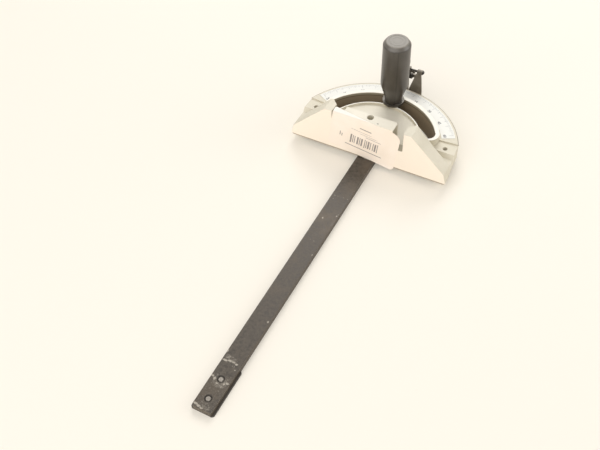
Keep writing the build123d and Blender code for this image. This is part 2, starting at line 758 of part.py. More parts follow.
# Pointer screw: small pan head through the pointer into the bracket
with BuildPart() as pointer_screw:
    with BuildSketch(front_plane(bracket_front_y - pointer_sheet)):
        with Locations((pointer_screw_x, pointer_screw_z)):
            Circle(pointer_screw_radius * pan_head_ratio)
    extrude(amount=pointer_screw_radius)
    fillet(pointer_screw.edges().sort_by(Axis.Y)[0], radius=pointer_screw_radius * 0.4)
    with BuildSketch(front_plane(bracket_front_y - pointer_sheet)):
        with Locations((pointer_screw_x, pointer_screw_z)):
            Circle(pointer_screw_radius)
    extrude(amount=-pointer_sheet - bracket_sheet)
    with BuildSketch(front_plane(bracket_front_y - pointer_sheet - pointer_screw_radius)):
        with Locations((pointer_screw_x, pointer_screw_z)):
            Rectangle(pointer_screw_radius * 1.5, pointer_screw_radius * 0.35)
            Rectangle(pointer_screw_radius * 0.35, pointer_screw_radius * 1.5)
    extrude(amount=-pointer_screw_radius * 0.6, mode=Mode.SUBTRACT)
finish(pointer_screw.part, "pointer_screw")
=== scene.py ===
"""Miter gauge: the finish of every surface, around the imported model. Metres."""

import math

import bpy
from mathutils import Matrix, Vector


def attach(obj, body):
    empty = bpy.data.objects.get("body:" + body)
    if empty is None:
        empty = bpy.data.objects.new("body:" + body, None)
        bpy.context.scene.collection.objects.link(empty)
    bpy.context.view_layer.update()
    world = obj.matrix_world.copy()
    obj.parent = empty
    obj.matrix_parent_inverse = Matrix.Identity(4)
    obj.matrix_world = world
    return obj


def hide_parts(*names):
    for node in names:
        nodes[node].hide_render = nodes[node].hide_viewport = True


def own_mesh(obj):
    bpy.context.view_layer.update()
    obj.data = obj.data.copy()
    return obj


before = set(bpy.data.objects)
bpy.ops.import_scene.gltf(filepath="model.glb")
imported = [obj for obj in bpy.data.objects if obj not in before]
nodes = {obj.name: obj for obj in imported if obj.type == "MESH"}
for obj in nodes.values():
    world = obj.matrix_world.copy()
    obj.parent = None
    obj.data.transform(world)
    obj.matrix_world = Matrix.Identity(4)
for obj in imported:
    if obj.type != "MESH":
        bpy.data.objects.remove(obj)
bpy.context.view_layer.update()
bpy.ops.object.select_all(action="DESELECT")


# Camera: above and to the right of the fence, looking down the bar's line at about 50 degrees.
# It stands where the straight bar, the round rim and the fence's outline agree.

camera_place = Vector((0.23668, -0.55801, 0.61152))
camera_yaw = math.radians(-30.316)
camera_down = math.radians(50.007)
camera_roll = math.radians(-3.147)
camera_film = 36.0
camera_lens = 48.0
camera_nearest = 0.01
camera_furthest = 20.0

bpy.ops.object.camera_add(location=camera_place)
camera = bpy.context.object
camera.name = "camera"
ahead = Vector(
    (
        math.sin(camera_yaw) * math.cos(camera_down),
        math.cos(camera_yaw) * math.cos(camera_down),
        -math.sin(camera_down),
    )
)
level_right = Vector((math.cos(camera_yaw), -math.sin(camera_yaw), 0.0))
level_up = level_right.cross(ahead)
camera_right = level_right * math.cos(camera_roll) + level_up * math.sin(camera_roll)
camera_up = level_up * math.cos(camera_roll) - level_right * math.sin(camera_roll)
camera.rotation_euler = Matrix((camera_right, camera_up, -ahead)).transposed().to_euler()
camera.data.sensor_width = camera_film
camera.data.lens = camera_lens
camera.data.clip_start = camera_nearest
camera.data.clip_end = camera_furthest
bpy.context.scene.camera = camera
bpy.context.scene.view_settings.view_transform = "Standard"


# Floor and light: a plain pale sheet under the gauge in a pale room, with soft lamps behind, at
# the right and in front. The floor and the room show near white where they are seen or mirrored,
# and light the gauge itself at a plain level.

floor_size = 6.0
floor_colour = (0.985, 0.93, 0.83, 1.0)
floor_roughness = 0.85
floor_seen_colour = (1.0, 0.975, 0.915, 1.0)
floor_seen_share = 0.18
room_colour = (1.0, 0.985, 0.955, 1.0)
room_light_strength = 0.44
room_seen_strength = 0.90
# Each lamp: name, place, the spot it points at, size, power and colour.
lamps = [
    ("rear_lamp", (-0.45, 1.15, 1.30), (0, 0, 0.02), 1.0, 13.0, (1.0, 0.99, 0.97)),
    ("right_lamp", (1.25, 0.45, 0.60), (0, 0.03, 0.06), 1.0, 5.5, (1.0, 0.99, 0.96)),
    ("front_lamp", (-0.25, -1.5, 1.0), (0, -0.1, 0.02), 2.4, 24.0, (1.0, 0.97, 0.93)),
]


def new_material(name):
    """A material with nothing in it but its output and a Principled BSDF."""
    material = bpy.data.materials.new(name)
    material.use_nodes = True
    return material, material.node_tree, material.node_tree.nodes["Principled BSDF"]


def maths(tree, operation, *values, clamp=False):
    """One Math node; each value is a number or another node's output."""
    step = tree.nodes.new("ShaderNodeMath")
    step.operation = operation
    step.use_clamp = clamp
    for socket, value in zip(step.inputs, values):
        if isinstance(value, (int, float)):
            socket.default_value = value
        else:
            tree.links.new(value, socket)
    return step.outputs[0]


def seen_or_mirrored(tree):
    """1 on what the camera sees, straight or by way of a glossy or clear surface; else 0."""
    rays = tree.nodes.new("ShaderNodeLightPath").outputs
    mirrored = maths(tree, "ADD", rays["Is Glossy Ray"], rays["Is Transmission Ray"])
    return maths(tree, "ADD", rays["Is Camera Ray"], mirrored, clamp=True)


def soft_lamp(name, place, aim, size, power, colour):
    """A square area lamp at place that points at aim."""
    bpy.ops.object.light_add(type="AREA", location=place)
    lamp = bpy.context.object
    lamp.name = name
    lamp.data.size = size
    lamp.data.energy = power
    lamp.data.color = colour
    lamp.rotation_euler = (Vector(aim) - Vector(place)).to_track_quat("-Z", "Y").to_euler()


bpy.ops.mesh.primitive_plane_add(size=floor_size, location=(0, 0, 0))
floor = bpy.context.object
floor.name = "floor"
floor_paint, tree, bsdf = new_material("pale_floor")
bsdf.inputs["Base Color"].default_value = floor_colour
bsdf.inputs["Roughness"].default_value = floor_roughness
glow = tree.nodes.new("ShaderNodeEmission")
glow.inputs["Color"].default_value = floor_seen_colour
glow_share = maths(tree, "MULTIPLY", seen_or_mirrored(tree), floor_seen_share)
blend_in = tree.nodes.new("ShaderNodeMixShader")
tree.links.new(glow_share, blend_in.inputs["Fac"])
tree.links.new(bsdf.outputs[0], blend_in.inputs[1])
tree.links.new(glow.outputs[0], blend_in.inputs[2])
tree.links.new(blend_in.outputs[0], tree.nodes["Material Output"].inputs["Surface"])
floor.data.materials.append(floor_paint)
bpy.ops.object.select_all(action="DESELECT")

world = bpy.data.worlds.new("room")
bpy.context.scene.world = world
world.use_nodes = True
tree = world.node_tree
room_light = tree.nodes["Background"]
room_light.inputs["Color"].default_value = room_colour
seen_extra = room_seen_strength - room_light_strength
strength = maths(tree, "MULTIPLY_ADD", seen_or_mirrored(tree), seen_extra, room_light_strength)
tree.links.new(strength, room_light.inputs["Strength"])

for lamp in lamps:
    soft_lamp(*lamp)


# Guide bar: hot-rolled flat steel with a black oxide, fine speckle and a soft sheen. Grit has
# rubbed pale marks into it, most of them near its front end, where its edges are worn as well.
# Its side faces are painted a paler brown as painted light, and a ring of painted shade lies
# round each of its two screws.

bar_dark = (0.036, 0.029, 0.023)
bar_light = (0.096, 0.081, 0.064)
bar_rust = (0.130, 0.100, 0.070)
bar_rust_share = 0.65
bar_side_lit = (0.090, 0.070, 0.050)
bar_side_share = 0.75
bar_front = (0.100, 0.078, 0.054)
bar_front_reach = (0.3328, 0.3329)
bar_ring_shade = (0.030, 0.024, 0.018)
bar_scuffed = (0.42, 0.38, 0.32)
bar_half_width = 0.009525
bar_top = 0.00635
bar_tip = 0.333
bar_side_from = 0.0062
bar_side_full = 0.0058
bar_worn_from = 0.272
bar_edge_reach = 0.0006
bar_tip_reach = 0.0008
bar_edge_wear = 0.62
bar_edge_fade = 0.012
mottle_grain = 34.0
mottle_reach = (0.50, 0.72)
scuff_grain = 1100.0
scuff_full = 0.45
stray_grain = 620.0
stray_fade = 0.030
stray_least = 0.06
stray_most = 0.42
stray_share = 0.42
fleck_grain = 850.0
fleck_full = 0.30
fleck_amount = 0.62
fleck_share = 0.5
mark_depth = 0.003
screw_places = ((0.0, -0.3011), (0.0, -0.3215))
screw_ring = (0.0039, 0.0039, 0.004)
screw_ring_soft = 0.12
# Where the bar's top is finely flecked: middle, reach and strength.
bar_flecked = [
    ((0.0, -0.3035, bar_top), (0.0125, 0.0110, mark_depth), 1.0),
    ((-0.002, -0.2810, bar_top), (0.0125, 0.0065, mark_depth), 0.9),
    ((0.0, -0.3290, bar_top), (0.0125, 0.0065, mark_depth), 0.9),
]
# Each scuff on the bar's top: place x and y, reach x and y, in millimetres, and strength.
bar_scuffs = [
    (-6.5, -283.6, 4.2, 1.5, 1.00),
    (-2.2, -282.4, 3.4, 1.6, 1.00),
    (1.6, -282.4, 3.0, 1.3, 0.90),
    (4.8, -283.2, 2.2, 1.5, 0.95),
    (-5.5, -279.6, 5.5, 4.2, 0.56),
    (3.5, -286.0, 4.5, 2.2, 0.46),
    (-8.2, -301.2, 2.6, 1.6, 0.95),
    (-5.3, -302.8, 2.0, 2.6, 0.90),
    (-4.9, -298.4, 1.8, 1.0, 0.60),
    (-1.0, -306.2, 2.6, 1.2, 0.85),
    (5.0, -304.2, 2.2, 1.7, 0.85),
    (7.2, -302.6, 2.6, 1.8, 0.90),
    (4.6, -307.6, 3.2, 2.4, 0.62),
    (-7.2, -330.0, 3.6, 1.7, 1.00),
    (-3.8, -331.0, 3.2, 1.6, 1.00),
    (-0.6, -331.9, 2.6, 1.3, 0.90),
    (4.4, -331.0, 4.4, 2.2, 0.54),
    (-6.4, -69.1, 1.6, 0.7, 0.75),
    (-3.0, -69.0, 1.2, 0.6, 0.60),
    (-5.8, -73.8, 1.0, 0.8, 0.60),
    (3.0, -68.4, 1.6, 0.7, 0.70),
    (7.7, -68.7, 1.2, 0.8, 0.70),
    (-3.7, -101.5, 1.3, 1.6, 0.90),
    (7.9, -93.6, 1.2, 1.6, 0.80),
    (8.6, -91.4, 0.9, 1.2, 0.60),
    (8.3, -147.8, 1.2, 1.6, 0.70),
    (1.9, -131.8, 1.0, 1.2, 0.60),
    (-2.1, -130.9, 1.0, 1.0, 0.55),
    (7.8, -232.9, 1.5, 2.2, 0.80),
    (6.4, -288.6, 1.2, 1.0, 0.80),
    (-9.0, -274.5, 1.2, 2.8, 0.75),
]


def group_of(name, inputs, outputs):
    """An empty shader group with its sockets named."""
    tree = bpy.data.node_groups.new(name, "ShaderNodeTree")
    for title, kind in inputs:
        tree.interface.new_socket(name=title, in_out="INPUT", socket_type=kind)
    for title, kind in outputs:
        tree.interface.new_socket(name=title, in_out="OUTPUT", socket_type=kind)
    return tree, tree.nodes.new("NodeGroupInput").outputs, tree.nodes.new("NodeGroupOutput").inputs


def noise(tree, place, scale, detail, roughness=0.5):
    """A Noise Texture's Fac at place; scale is a number or another node's output."""
    clouds = tree.nodes.new("ShaderNodeTexNoise")
    clouds.inputs["Detail"].default_value = detail
    clouds.inputs["Roughness"].default_value = roughness
    tree.links.new(place, clouds.inputs["Vector"])
    if isinstance(scale, float):
        clouds.inputs["Scale"].default_value = scale
    else:
        tree.links.new(scale, clouds.inputs["Scale"])
    return clouds.outputs["Fac"]


def spread(tree, source, low, high, to_low=0.0, to_high=1.0):
    """Stretch source's low to high onto to_low to to_high, and clamp it."""
    step = tree.nodes.new("ShaderNodeMapRange")
    step.inputs["From Min"].default_value = low
    step.inputs["From Max"].default_value = high
    step.inputs["To Min"].default_value = to_low
    step.inputs["To Max"].default_value = to_high
    tree.links.new(source, step.inputs["Value"])
    return step.outputs["Result"]


def laid_over(tree, share, under, over):
    """Over laid on under by share; each is a colour or another node's output."""
    mix = tree.nodes.new("ShaderNodeMix")
    mix.data_type = "RGBA"
    tree.links.new(share, mix.inputs[0])
    for socket, value in ((mix.inputs[6], under), (mix.inputs[7], over)):
        if isinstance(value, tuple):
            socket.default_value = (*value, 1.0)
        else:
            tree.links.new(value, socket)
    return mix.outputs[2]


def layered(tree, tone, *layers):
    """Tone with each layer laid over it in turn; a layer is its share and its colour."""
    for share, colour in layers:
        tone = laid_over(tree, share, tone, colour)
    return tone


def coloured(tree, bsdf, tone):
    """Make tone the shader's colour."""
    tree.links.new(tone, bsdf.inputs["Base Color"])


# The grain group: soft clouds of tone, a fine speckle and the height of both.
cloud_reach = (0.32, 0.68)
speck_reach = (0.30, 0.70)
cloud_relief = 0.35
grain_tree, given, result = group_of(
    "surface_grain",
    [("Vector", "NodeSocketVector"), ("Coarse", "NodeSocketFloat"), ("Fine", "NodeSocketFloat")],
    [("Cloud", "NodeSocketFloat"), ("Speck", "NodeSocketFloat"), ("Height", "NodeSocketFloat")],
)
clouds = noise(grain_tree, given["Vector"], given["Coarse"], detail=4.0)
specks = noise(grain_tree, given["Vector"], given["Fine"], detail=2.0, roughness=0.7)
relief = maths(grain_tree, "MULTIPLY_ADD", clouds, cloud_relief, specks)
grain_tree.links.new(spread(grain_tree, clouds, *cloud_reach), result["Cloud"])
grain_tree.links.new(spread(grain_tree, specks, *speck_reach), result["Speck"])
grain_tree.links.new(relief, result["Height"])

# The chip group: small broken patches, more of them as Amount rises.
chip_reach = (0.72, 0.86)
chip_gain = 0.42
chip_tree, given, result = group_of(
    "chips",
    [("Vector", "NodeSocketVector"), ("Scale", "NodeSocketFloat"), ("Amount", "NodeSocketFloat")],
    [("Mask", "NodeSocketFloat")],
)
breaks = noise(chip_tree, given["Vector"], given["Scale"], detail=5.0, roughness=0.75)
raised = maths(chip_tree, "MULTIPLY_ADD", given["Amount"], chip_gain, breaks)
chip_tree.links.new(spread(chip_tree, raised, *chip_reach), result["Mask"])


grain_depth = 0.0002
speck_brighter = 1.7


def grained(name, dark, light, coarse, fine, gloss, metallic, relief, speck=0.25):
    """A material whose tone, gloss and relief follow the grain.

    Returns the material, its tree, its shader, its Object coordinates and its tone.
    """
    material, tree, bsdf = new_material(name)
    coords = tree.nodes.new("ShaderNodeTexCoord").outputs["Object"]
    grain = tree.nodes.new("ShaderNodeGroup")
    grain.node_tree = grain_tree
    grain.inputs["Coarse"].default_value = coarse
    grain.inputs["Fine"].default_value = fine
    tree.links.new(coords, grain.inputs["Vector"])
    fleck = tuple(min(1.0, part * speck_brighter) for part in light)
    tone = laid_over(tree, grain.outputs["Cloud"], dark, light)
    tone = laid_over(tree, maths(tree, "MULTIPLY", grain.outputs["Speck"], speck), tone, fleck)
    roughness = spread(tree, grain.outputs["Cloud"], 0.0, 1.0, *gloss)
    bump = tree.nodes.new("ShaderNodeBump")
    bump.inputs["Strength"].default_value = relief
    bump.inputs["Distance"].default_value = grain_depth
    tree.links.new(grain.outputs["Height"], bump.inputs["Height"])
    bsdf.inputs["Metallic"].default_value = metallic
    coloured(tree, bsdf, tone)
    tree.links.new(roughness, bsdf.inputs["Roughness"])
    tree.links.new(bump.outputs["Normal"], bsdf.inputs["Normal"])
    return material, tree, bsdf, coords, tone


def chips(tree, coords, grain, amount):
    """The chip group at the surface's own place; amount is a number or another node's output."""
    group = tree.nodes.new("ShaderNodeGroup")
    group.node_tree = chip_tree
    group.inputs["Scale"].default_value = grain
    tree.links.new(coords, group.inputs["Vector"])
    if isinstance(amount, float):
        group.inputs["Amount"].default_value = amount
    else:
        tree.links.new(amount, group.inputs["Amount"])
    return group.outputs["Mask"]


def rubbed(tree, coords, grain, amount, full, share=1.0, least=0.05):
    """Chips that come in where amount passes least, and show by share where it reaches full."""
    broken = chips(tree, coords, grain, amount)
    return maths(tree, "MULTIPLY", broken, spread(tree, amount, least, full, 0.0, share))


def flaked(tree, coords, tone, under, grain, amount, share):
    """Tone with chips broken out of it by share, where the colour under it shows."""
    broken = maths(tree, "MULTIPLY", chips(tree, coords, grain, amount), share)
    return laid_over(tree, broken, tone, under)


def patch(tree, coords, centre, reach, soft=0.6):
    """A soft-edged ellipsoid round centre: 1 inside it and 0 outside."""
    place = tree.nodes.new("ShaderNodeMapping")
    place.vector_type = "TEXTURE"
    place.inputs["Location"].default_value = centre
    place.inputs["Scale"].default_value = reach
    tree.links.new(coords, place.inputs["Vector"])
    span = tree.nodes.new("ShaderNodeVectorMath")
    span.operation = "LENGTH"
    tree.links.new(place.outputs["Vector"], span.inputs[0])
    return spread(tree, span.outputs["Value"], 1.0, 1.0 - soft)


def marks(tree, coords, places):
    """The strongest of several patches at each point; places holds centre, reach and strength."""
    most = 0.0
    for centre, reach, strength in places:
        mark = maths(tree, "MULTIPLY", patch(tree, coords, centre, reach), strength)
        most = maths(tree, "MAXIMUM", mark, most)
    return most


def along(tree, coords):
    """The three Object coordinates as separate outputs."""
    split = tree.nodes.new("ShaderNodeSeparateXYZ")
    tree.links.new(coords, split.inputs["Vector"])
    return split.outputs["X"], split.outputs["Y"], split.outputs["Z"]


def paint(node, material):
    """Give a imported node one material."""
    mesh = nodes[node].data
    mesh.materials.clear()
    mesh.materials.append(material)


bar_finish, tree, bsdf, coords, tone = grained(
    "black_bar", bar_dark, bar_light,
    coarse=300.0, fine=1500.0, gloss=(0.38, 0.58), metallic=0.2, relief=0.35,
)
x, y, z = along(tree, coords)
forward = maths(tree, "MULTIPLY", y, -1.0)
mottle = noise(tree, coords, mottle_grain, detail=5.0, roughness=0.62)
# Painted shade: a dark ring on the bar's top round each screw, like a wide countersink's shade,
# kept clear of wear.
rings = [
    patch(tree, coords, (*place, bar_top), screw_ring, screw_ring_soft)
    for place in screw_places
]
round_screw_shade = maths(tree, "MAXIMUM", *rings)
tone = layered(
    tree,
    tone,
    (spread(tree, mottle, *mottle_reach, 0.0, bar_rust_share), bar_rust),
    # painted light: the side faces a paler brown, for the floor's bounced light on them
    (spread(tree, z, bar_side_from, bar_side_full, 0.0, bar_side_share), bar_side_lit),
    (spread(tree, forward, *bar_front_reach), bar_front),
    (round_screw_shade, bar_ring_shade),
)

off_middle = maths(tree, "ABSOLUTE", x)
near_side = spread(tree, off_middle, bar_half_width - bar_edge_reach, bar_half_width)
worn_part = spread(tree, forward, bar_worn_from, bar_worn_from + bar_edge_fade)
near_side = maths(tree, "MULTIPLY", near_side, worn_part)
near_tip = spread(tree, forward, bar_tip - bar_tip_reach, bar_tip)
near_top = spread(tree, z, bar_top - bar_edge_reach, bar_top)
edge = maths(tree, "MULTIPLY", maths(tree, "MAXIMUM", near_side, near_tip), near_top)
scuff_places = [
    ((across / 1000, place / 1000, bar_top), (wide / 1000, deep / 1000, mark_depth), strength)
    for across, place, wide, deep, strength in bar_scuffs
]
wear = marks(tree, coords, scuff_places)
wear = maths(tree, "MAXIMUM", wear, maths(tree, "MULTIPLY", edge, bar_edge_wear))
scuffed = rubbed(tree, coords, scuff_grain, wear, scuff_full)
stray_to = bar_worn_from + stray_fade
stray_amount = spread(tree, forward, bar_worn_from, stray_to, stray_least, stray_most)
stray = chips(tree, coords, stray_grain, stray_amount)
stray = maths(tree, "MULTIPLY", stray, stray_share)
flecked = maths(tree, "MULTIPLY", marks(tree, coords, bar_flecked), fleck_amount)
flecks = rubbed(tree, coords, fleck_grain, flecked, fleck_full, fleck_share)
worn = maths(tree, "MAXIMUM", maths(tree, "MAXIMUM", scuffed, stray), flecks)
worn = maths(tree, "MULTIPLY", worn, maths(tree, "SUBTRACT", 1.0, round_screw_shade))
coloured(tree, bsdf, laid_over(tree, worn, tone, bar_scuffed))
paint("guide_bar", bar_finish)


# Guide plate: a pressed steel strip, black, screwed under the bar's front end.
# Its two countersunk screws come up through the bar, and their tips are rubbed bare.

plate_dark = (0.058, 0.050, 0.042)
plate_light = (0.095, 0.083, 0.070)
plate_rubbed = (0.25, 0.23, 0.20)
screw_dark = (0.075, 0.066, 0.056)
screw_light = (0.115, 0.10, 0.086)
screw_bare_dark = (0.27, 0.245, 0.21)
screw_bare_light = (0.45, 0.41, 0.37)
screw_tip_from = 0.0053
screw_tip_full = 0.0057

plate_finish, tree, bsdf, coords, tone = grained(
    "black_plate", plate_dark, plate_light,
    coarse=90.0, fine=1400.0, gloss=(0.45, 0.6), metallic=0.3, relief=0.35,
)
tone = flaked(tree, coords, tone, plate_rubbed, grain=600.0, amount=0.12, share=0.5)
coloured(tree, bsdf, tone)
paint("guide_plate", plate_finish)

screw_finish, tree, bsdf, coords, tone = grained(
    "worn_screw", screw_dark, screw_light,
    coarse=400.0, fine=2500.0, gloss=(0.35, 0.5), metallic=0.4, relief=0.3,
)
x, y, z = along(tree, coords)
tip = spread(tree, z, screw_tip_from, screw_tip_full)
scratched = chips(tree, coords, grain=1300.0, amount=0.60)
bare = laid_over(tree, scratched, screw_bare_dark, screw_bare_light)
coloured(tree, bsdf, laid_over(tree, tip, tone, bare))
for node in ("guide_screw_front", "guide_screw_rear"):
    paint(node, screw_finish)


# Head: one aluminium die casting, blasted to a fine matt grain. The fence's face is milled flat,
# and is painted far paler than the deck as painted reflection of the bright floor. The slot's lips
# are faced bright. The slot's walls, the notches in the fence, the rim's edge and the face's
# bottom edge are painted dark as painted shade, and the deck's middle and the platform's top are
# painted paler as painted light.

cast_deck = (0.640, 0.590, 0.470)
cast_deck_light = (0.735, 0.685, 0.565)
cast_deck_lit = (0.825, 0.778, 0.672)
cast_face_lit = (0.985, 0.885, 0.765)
cast_face_streak = (0.90, 0.82, 0.705)
cast_streak_share = 0.35
cast_low_edge_shade = (0.34, 0.27, 0.19)
cast_lip = (0.93, 0.90, 0.82)
cast_wall_upper_shade = (0.46, 0.405, 0.295)
cast_wall_lower_shade = (0.37, 0.295, 0.200)
cast_wall_line_shade = (0.15, 0.12, 0.08)
cast_notch_shade = (0.43, 0.39, 0.295)
cast_rim_edge_shade = (0.22, 0.18, 0.125)
cast_speck = (0.12, 0.10, 0.07)
cast_ding = (0.48, 0.44, 0.35)
face_reach = (-0.00835, -0.00848)
low_edge_heights = (0.0088, 0.0080)
low_edge_reach = (-0.0078, -0.0082)
rim_edge_reach = (0.0910, 0.0913)
rim_edge_low = 0.0249
slot_mid_radius = 0.0604
slot_half_gap = 0.00755
slot_end_place = (0.05283, 0.02928)
slot_end_lean = 0.48481
lip_height = 0.03275
lip_mid_radius = 0.0620
lip_half_width = 0.0110
lip_half_depth = 0.0001
wall_heights = (0.03235, 0.03185)
wall_upper_heights = (0.0291, 0.0294)
wall_line_height = 0.0291
wall_line_reach = (0.0007, 0.0003)
notch_inner = 0.0281
notch_outer = 0.0399
notch_floor = 0.0336
notch_heights = (0.0578, 0.0572)
notch_reach = (0.0045, 0.0005)
mill_grain = 260.0
mill_distortion = 1.2
mill_detail = 2.0
# Places on the casting, each with its middle, its reach and its strength.
# Painted light: soft pale pools on the deck's middle and on the platform's top.
lit_places = [
    ((0.0, 0.024, 0.0304), (0.052, 0.034, 0.003), 0.8),
    ((0.0, -0.001, 0.0581), (0.046, 0.015, 0.003), 0.9),
]
speck_places = [
    ((0.0105, -0.0056, 0.0581), (0.0014, 0.0010, 0.002), 0.75),
    ((0.0278, 0.0041, 0.0581), (0.0011, 0.0009, 0.002), 0.65),
]


def apart(tree, value, middle):
    """How far value is from middle, to either side."""
    return maths(tree, "ABSOLUTE", maths(tree, "SUBTRACT", value, middle))


def within(tree, value, middle, half):
    """1 where value is less than half away from middle, and else 0."""
    return maths(tree, "LESS_THAN", apart(tree, value, middle), half)


def all_of(tree, mask, *others):
    """1 only where each of several masks is 1."""
    for other in others:
        mask = maths(tree, "MULTIPLY", mask, other)
    return mask


cast_finish, tree, bsdf, coords, tone = grained(
    "cast_head", cast_deck, cast_deck_light,
    coarse=45.0, fine=1900.0, gloss=(0.50, 0.62), metallic=0.12, relief=0.45, speck=0.12,
)
x, y, z = along(tree, coords)
off_middle = maths(tree, "ABSOLUTE", x)
level = tree.nodes.new("ShaderNodeVectorMath")
level.operation = "MULTIPLY"
level.inputs[1].default_value = (1.0, 1.0, 0.0)
tree.links.new(coords, level.inputs[0])
span = tree.nodes.new("ShaderNodeVectorMath")
span.operation = "LENGTH"
tree.links.new(level.outputs[0], span.inputs[0])
radius = span.outputs["Value"]

# The arc slot is a band round the pivot with a round end at each side.
in_turn = maths(tree, "GREATER_THAN", y, maths(tree, "MULTIPLY", radius, slot_end_lean))
in_arc = all_of(tree, within(tree, radius, slot_mid_radius, slot_half_gap), in_turn)
to_end_x = maths(tree, "SUBTRACT", off_middle, slot_end_place[0])
to_end_y = maths(tree, "SUBTRACT", y, slot_end_place[1])
to_end_y = maths(tree, "MULTIPLY", to_end_y, to_end_y)
to_end = maths(tree, "MULTIPLY_ADD", to_end_x, to_end_x, to_end_y)
in_end = maths(tree, "LESS_THAN", to_end, slot_half_gap**2)
in_slot = maths(tree, "MAXIMUM", in_arc, in_end)
# Painted shade: the arc slot's walls dark, darker low down, with a darker line just under the lip.
slot_wall_shade = all_of(tree, in_slot, spread(tree, z, *wall_heights))
on_upper = spread(tree, z, *wall_upper_heights)
on_line = spread(tree, apart(tree, z, wall_line_height), *wall_line_reach)
wall = laid_over(tree, on_upper, cast_wall_lower_shade, cast_wall_upper_shade)
wall = laid_over(tree, on_line, wall, cast_wall_line_shade)
on_lip = all_of(
    tree,
    within(tree, radius, lip_mid_radius, lip_half_width),
    within(tree, z, lip_height, lip_half_depth),
)
# Painted shade: the walls of the notches in the fence, and the sill between them, painted darker.
notch_shade = all_of(
    tree,
    maths(tree, "GREATER_THAN", off_middle, notch_inner),
    maths(tree, "LESS_THAN", off_middle, notch_outer),
    spread(tree, z, *notch_heights),
    maths(tree, "GREATER_THAN", z, notch_floor),
    spread(tree, y, *notch_reach),
)
# Painted shade: the rim's rounded outer edge painted dark.
rim_edge_shade = all_of(
    tree,
    spread(tree, radius, *rim_edge_reach),
    maths(tree, "GREATER_THAN", z, rim_edge_low),
)
on_face = spread(tree, y, *face_reach)
# Painted shade: a dark band along the face's bottom edge, for the shade under the casting.
under_face_shade = all_of(
    tree,
    spread(tree, z, *low_edge_heights),
    spread(tree, y, *low_edge_reach),
)
mill = tree.nodes.new("ShaderNodeTexWave")
mill.wave_type = "BANDS"
mill.bands_direction = "Z"
mill.inputs["Scale"].default_value = mill_grain
mill.inputs["Distortion"].default_value = mill_distortion
mill.inputs["Detail"].default_value = mill_detail
tree.links.new(coords, mill.inputs["Vector"])
streaks = maths(tree, "MULTIPLY", mill.outputs["Fac"], cast_streak_share)
# Painted reflection: the milled face is painted far paler than the deck, for the bright floor it
# mirrors; the streaks are its real milling marks.
milled_and_lit = laid_over(tree, streaks, cast_face_lit, cast_face_streak)
tone = layered(
    tree,
    tone,
    (marks(tree, coords, lit_places), cast_deck_lit),
    (on_lip, cast_lip),
    (rim_edge_shade, cast_rim_edge_shade),
    (slot_wall_shade, wall),
    (notch_shade, cast_notch_shade),
    (on_face, milled_and_lit),
    (marks(tree, coords, speck_places), cast_speck),
    (under_face_shade, cast_low_edge_shade),
)
tone = flaked(tree, coords, tone, cast_ding, grain=300.0, amount=0.0, share=0.35)
coloured(tree, bsdf, tone)
paint("head_casting", cast_finish)


# Angle scale: a thin satin anodised strip stuck to the rim, printed with a mark for each degree
# and a number every 15 degrees. The print is thin ink that stands a hair above the strip.

scale_strip_dark = (0.820, 0.815, 0.768)
scale_strip_light = (0.855, 0.852, 0.812)
ink_dark = (0.055, 0.055, 0.066)
ink_light = (0.115, 0.115, 0.130)
ink_worn = (0.40, 0.39, 0.36)
ink_depth = 0.00003
scale_top = 0.0265
scale_end = 60
scale_number_step = 15
scale_number_radius = 0.0783
scale_number_size = 0.0043
scale_number_swell = 0.00009
scale_tick_outer = 0.0880
# Each kind of tick, by how many degrees it counts: its length and its width.
scale_tick_sizes = {1: (0.0024, 0.00014), 5: (0.0036, 0.00022), 10: (0.0050, 0.00022)}

scale_finish, tree, bsdf, coords, tone = grained(
    "scale_strip", scale_strip_dark, scale_strip_light,
    coarse=120.0, fine=2400.0, gloss=(0.42, 0.52), metallic=0.05, relief=0.12, speck=0.06,
)
paint("angle_scale", scale_finish)

ink_finish, tree, bsdf, coords, tone = grained(
    "scale_ink", ink_dark, ink_light,
    coarse=900.0, fine=3500.0, gloss=(0.5, 0.65), metallic=0.0, relief=0.1,
)
tone = flaked(tree, coords, tone, ink_worn, grain=1500.0, amount=0.15, share=0.6)
coloured(tree, bsdf, tone)


def joined_up(parts, name, material):
    """Join parts, which sit at the origin, into one piece with this name and material."""
    bpy.ops.object.select_all(action="DESELECT")
    for part in parts:
        part.select_set(True)
    bpy.context.view_layer.objects.active = parts[0]
    if len(parts) > 1:
        bpy.ops.object.join()
    piece = bpy.context.view_layer.objects.active
    piece.name = name
    piece.data.materials.clear()
    piece.data.materials.append(material)
    bpy.ops.object.select_all(action="DESELECT")
    return piece


def on_scale(degrees, out):
    """The place at this angle on the scale, out from the pivot, turned to face it."""
    swing = Matrix.Rotation(-math.radians(degrees), 4, "Z")
    return swing @ Matrix.Translation((0, out, scale_top + ink_depth))


numbers = []
for degrees in range(-scale_end, scale_end + 1, scale_number_step):
    bpy.ops.object.text_add(location=(0, 0, 0))
    number = bpy.context.object
    number.data.body = str(abs(degrees))
    number.data.align_x = "CENTER"
    number.data.align_y = "CENTER"
    number.data.size = scale_number_size
    number.data.extrude = ink_depth / 2
    number.data.offset = scale_number_swell
    bpy.ops.object.convert(target="MESH")
    number = bpy.context.object
    number.data.transform(on_scale(degrees, scale_number_radius))
    numbers.append(number)
scale_numbers = joined_up(numbers, "scale_numbers", ink_finish)
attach(scale_numbers, "head")


def stamped(pattern, across, along_up, depth, place):
    """A copy of pattern with its own mesh, sized, then put where place says."""
    copy = pattern.copy()
    copy.data = pattern.data.copy()
    bpy.context.collection.objects.link(copy)
    copy.data.transform(place @ Matrix.Diagonal((across, along_up, depth, 1.0)))
    return copy


